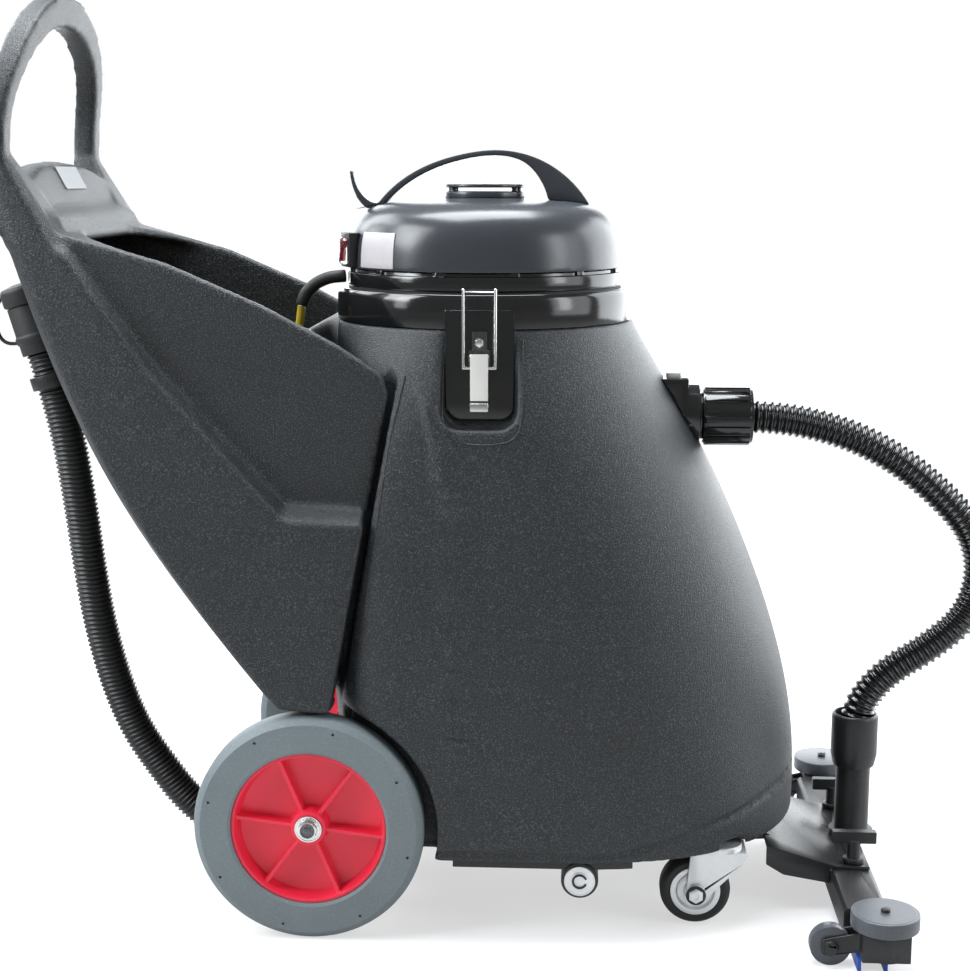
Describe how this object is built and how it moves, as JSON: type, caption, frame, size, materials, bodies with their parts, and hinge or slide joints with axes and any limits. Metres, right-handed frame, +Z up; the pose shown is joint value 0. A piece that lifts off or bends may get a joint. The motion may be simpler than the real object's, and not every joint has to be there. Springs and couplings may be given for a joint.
{
  "type": "carpet cleaner machine",
  "caption": "Walk-behind wet pick-up machine for carpets: moulded tank and rear cord bin with push handle, lift-off motor head, front squeegee, wheels, hoses.",
  "frame": {"origin": "on the floor, at the middle of the bounding box of the machine without its hoses and cord", "axes": "+X forward, towards the squeegee; +Y to the machine's left; +Z up"},
  "size_m": [1.1327, 0.5716, 1.03],
  "materials": {
    "black_mould": "rotationally moulded, fine pebble texture",
    "gloss_black": "glossy injection moulded",
    "dome_grey": "satin grey moulded",
    "black_plastic": "fine matt",
    "hose_black": "corrugated, glossy",
    "grey_tyre": "solid grey rubber",
    "black_rubber": "matt",
    "hub_red": "red moulded",
    "bright_steel": "polished",
    "zinc": "zinc plated",
    "painted_steel": "black powder coat",
    "blade_blue": "blue urethane",
    "bumper_grey": "grey rubber",
    "label_white": "blank printed film",
    "rocker_red": "dark red",
    "cord_yellow": "yellow sheath",
    "filter_cloth": "needle felt",
    "float_white": "plain",
    "motor_steel": "machined"
  },
  "bodies": {
    "cart": {"recovery_tank": "black_mould", "rear_housing": "black_mould", "tank_collar": "gloss_black", "head_gasket": "black_rubber", "housing_plate": "label_white", "base_frame": "painted_steel", "rear_axle": "bright_steel", "pivot_bolt": "bright_steel", "inlet_adapter": "gloss_black", "vacuum_hose": "hose_black", "drain_elbow": "black_plastic", "drain_hose": "hose_black", "drain_cuff": "black_rubber", "hose_clip": "black_plastic", "power_cord": "cord_yellow", "cord_coil": "cord_yellow", "mains_plug": "black_rubber", "latch_plates": "bright_steel"},
    "rear_wheel_left": {"rear_tyre_left": "grey_tyre", "rear_hub_left": "hub_red"},
    "rear_wheel_right": {"rear_tyre_right": "grey_tyre", "rear_hub_right": "hub_red"},
    "caster_left": {"caster_fork_left": "zinc"},
    "caster_right": {"caster_fork_right": "zinc"},
    "caster_wheel_left": {"caster_tyre_left": "black_rubber", "caster_rim_left": "zinc"},
    "caster_wheel_right": {"caster_tyre_right": "black_rubber", "caster_rim_right": "zinc"},
    "squeegee": {"squeegee_yoke": "painted_steel", "squeegee_beam": "black_plastic", "beam_ends": "black_plastic", "squeegee_blades": "blade_blue", "suction_pipe": "black_plastic", "hose_cuff": "black_plastic"},
    "side_wheel_left": {"side_wheel_left": "bumper_grey"},
    "side_wheel_right": {"side_wheel_right": "bumper_grey"},
    "bumper_left": {"bumper_wheel_left": "bumper_grey"},
    "bumper_right": {"bumper_wheel_right": "bumper_grey"},
    "knob_left": {"knob_left": "black_plastic"},
    "knob_right": {"knob_right": "black_plastic"},
    "inlet_nut": {"inlet_nut": "gloss_black"},
    "drain_cap": {"drain_cap": "black_rubber"},
    "latch_lever_left": {"latch_lever_left": "bright_steel"},
    "latch_lever_right": {"latch_lever_right": "bright_steel"},
    "latch_bail_left": {"latch_bail_left": "bright_steel"},
    "latch_bail_right": {"latch_bail_right": "bright_steel"},
    "head": {"head_ring": "gloss_black", "dome_cover": "dome_grey", "vent_cap": "dome_grey", "carry_handle": "dome_grey", "switch_box": "black_plastic", "rating_label": "label_white", "motor": "motor_steel", "filter_cage": "black_plastic", "filter_sleeve": "filter_cloth", "cord_sleeve": "black_rubber"},
    "rocker": {"rocker_switch": "rocker_red"},
    "fan": {"fan_wheel": "motor_steel"},
    "float": {"float_ball": "float_white"}
  },
  "joints": [
    {"name": "rear_wheel_left_spin", "type": "hinge", "parent": "cart", "child": "rear_wheel_left", "pos_m": [-0.159, 0.198, 0.127], "axis": [0, 1, 0], "continuous": true},
    {"name": "caster_left_swivel", "type": "hinge", "parent": "cart", "child": "caster_left", "pos_m": [0.293, 0.138, 0.088], "axis": [0, 0, 1], "continuous": true},
    {"name": "caster_left_roll", "type": "hinge", "parent": "caster_left", "child": "caster_wheel_left", "pos_m": [0.268, 0.138, 0.0395], "axis": [0, 1, 0], "continuous": true},
    {"name": "side_wheel_left_roll", "type": "hinge", "parent": "squeegee", "child": "side_wheel_left", "pos_m": [0.406, 0.2405, 0.022], "axis": [0, 1, 0], "continuous": true},
    {"name": "bumper_left_spin", "type": "hinge", "parent": "squeegee", "child": "bumper_left", "pos_m": [0.462, 0.249, 0.05], "axis": [0, 0, 1], "continuous": true},
    {"name": "knob_left_turn", "type": "hinge", "parent": "squeegee", "child": "knob_left", "pos_m": [0.453, 0.088, 0.06], "axis": [0, 0, 1], "continuous": true},
    {"name": "latch_left_open", "type": "hinge", "parent": "cart", "child": "latch_lever_left", "pos_m": [0.026, 0.1765, 0.642], "axis": [1, 0, 0], "range_deg": [0, 150]},
    {"name": "bail_left_swing", "type": "hinge", "parent": "latch_lever_left", "child": "latch_bail_left", "pos_m": [0.026, 0.1765, 0.63], "axis": [-1, 0, 0], "range_deg": [0, 172.5]},
    {"name": "rear_wheel_right_spin", "type": "hinge", "parent": "cart", "child": "rear_wheel_right", "pos_m": [-0.159, -0.198, 0.127], "axis": [0, 1, 0], "continuous": true},
    {"name": "caster_right_swivel", "type": "hinge", "parent": "cart", "child": "caster_right", "pos_m": [0.293, -0.138, 0.088], "axis": [0, 0, 1], "continuous": true},
    {"name": "caster_right_roll", "type": "hinge", "parent": "caster_right", "child": "caster_wheel_right", "pos_m": [0.268, -0.138, 0.0395], "axis": [0, 1, 0], "continuous": true},
    {"name": "side_wheel_right_roll", "type": "hinge", "parent": "squeegee", "child": "side_wheel_right", "pos_m": [0.406, -0.2405, 0.022], "axis": [0, 1, 0], "continuous": true},
    {"name": "bumper_right_spin", "type": "hinge", "parent": "squeegee", "child": "bumper_right", "pos_m": [0.462, -0.249, 0.05], "axis": [0, 0, 1], "continuous": true},
    {"name": "knob_right_turn", "type": "hinge", "parent": "squeegee", "child": "knob_right", "pos_m": [0.453, -0.088, 0.06], "axis": [0, 0, 1], "continuous": true},
    {"name": "latch_right_open", "type": "hinge", "parent": "cart", "child": "latch_lever_right", "pos_m": [0.026, -0.1765, 0.642], "axis": [-1, 0, 0], "range_deg": [0, 150]},
    {"name": "bail_right_swing", "type": "hinge", "parent": "latch_lever_right", "child": "latch_bail_right", "pos_m": [0.026, -0.1765, 0.63], "axis": [1, 0, 0], "range_deg": [0, 172.5]},
    {"name": "squeegee_float", "type": "hinge", "parent": "cart", "child": "squeegee", "pos_m": [0.138, 0, 0.068], "axis": [0, -1, 0], "range_deg": [0, 3.5], "deforming": ["vacuum_hose"]},
    {"name": "inlet_nut_turn", "type": "hinge", "parent": "cart", "child": "inlet_nut", "pos_m": [0.3, 0, 0.5575], "axis": [1, 0, 0], "continuous": true},
    {"name": "drain_cap_pull", "type": "slide", "parent": "cart", "child": "drain_cap", "axis": [-0.2774, 0, 0.9608], "range_m": [0, 0.045]},
    {"name": "head_lift", "type": "slide", "parent": "cart", "child": "head", "axis": [0, 0, 1], "range_m": [0, 0.35], "deforming": ["power_cord"]},
    {"name": "rocker_tilt", "type": "hinge", "parent": "head", "child": "rocker", "pos_m": [-0.12831, -0.0577, 0.748], "axis": [-0.3584, 0.9336, 0], "range_deg": [0, 10]},
    {"name": "fan_spin", "type": "hinge", "parent": "head", "child": "fan", "pos_m": [0.022, 0, 0.66], "axis": [0, 0, 1], "continuous": true},
    {"name": "float_rise", "type": "slide", "parent": "head", "child": "float", "axis": [0, 0, 1], "range_m": [0, 0.031]}
  ],
  "couplings": [
    {"joint": "bail_left_swing", "follows": "latch_left_open", "ratio": 1.15},
    {"joint": "bail_right_swing", "follows": "latch_right_open", "ratio": 1.15}
  ]
}
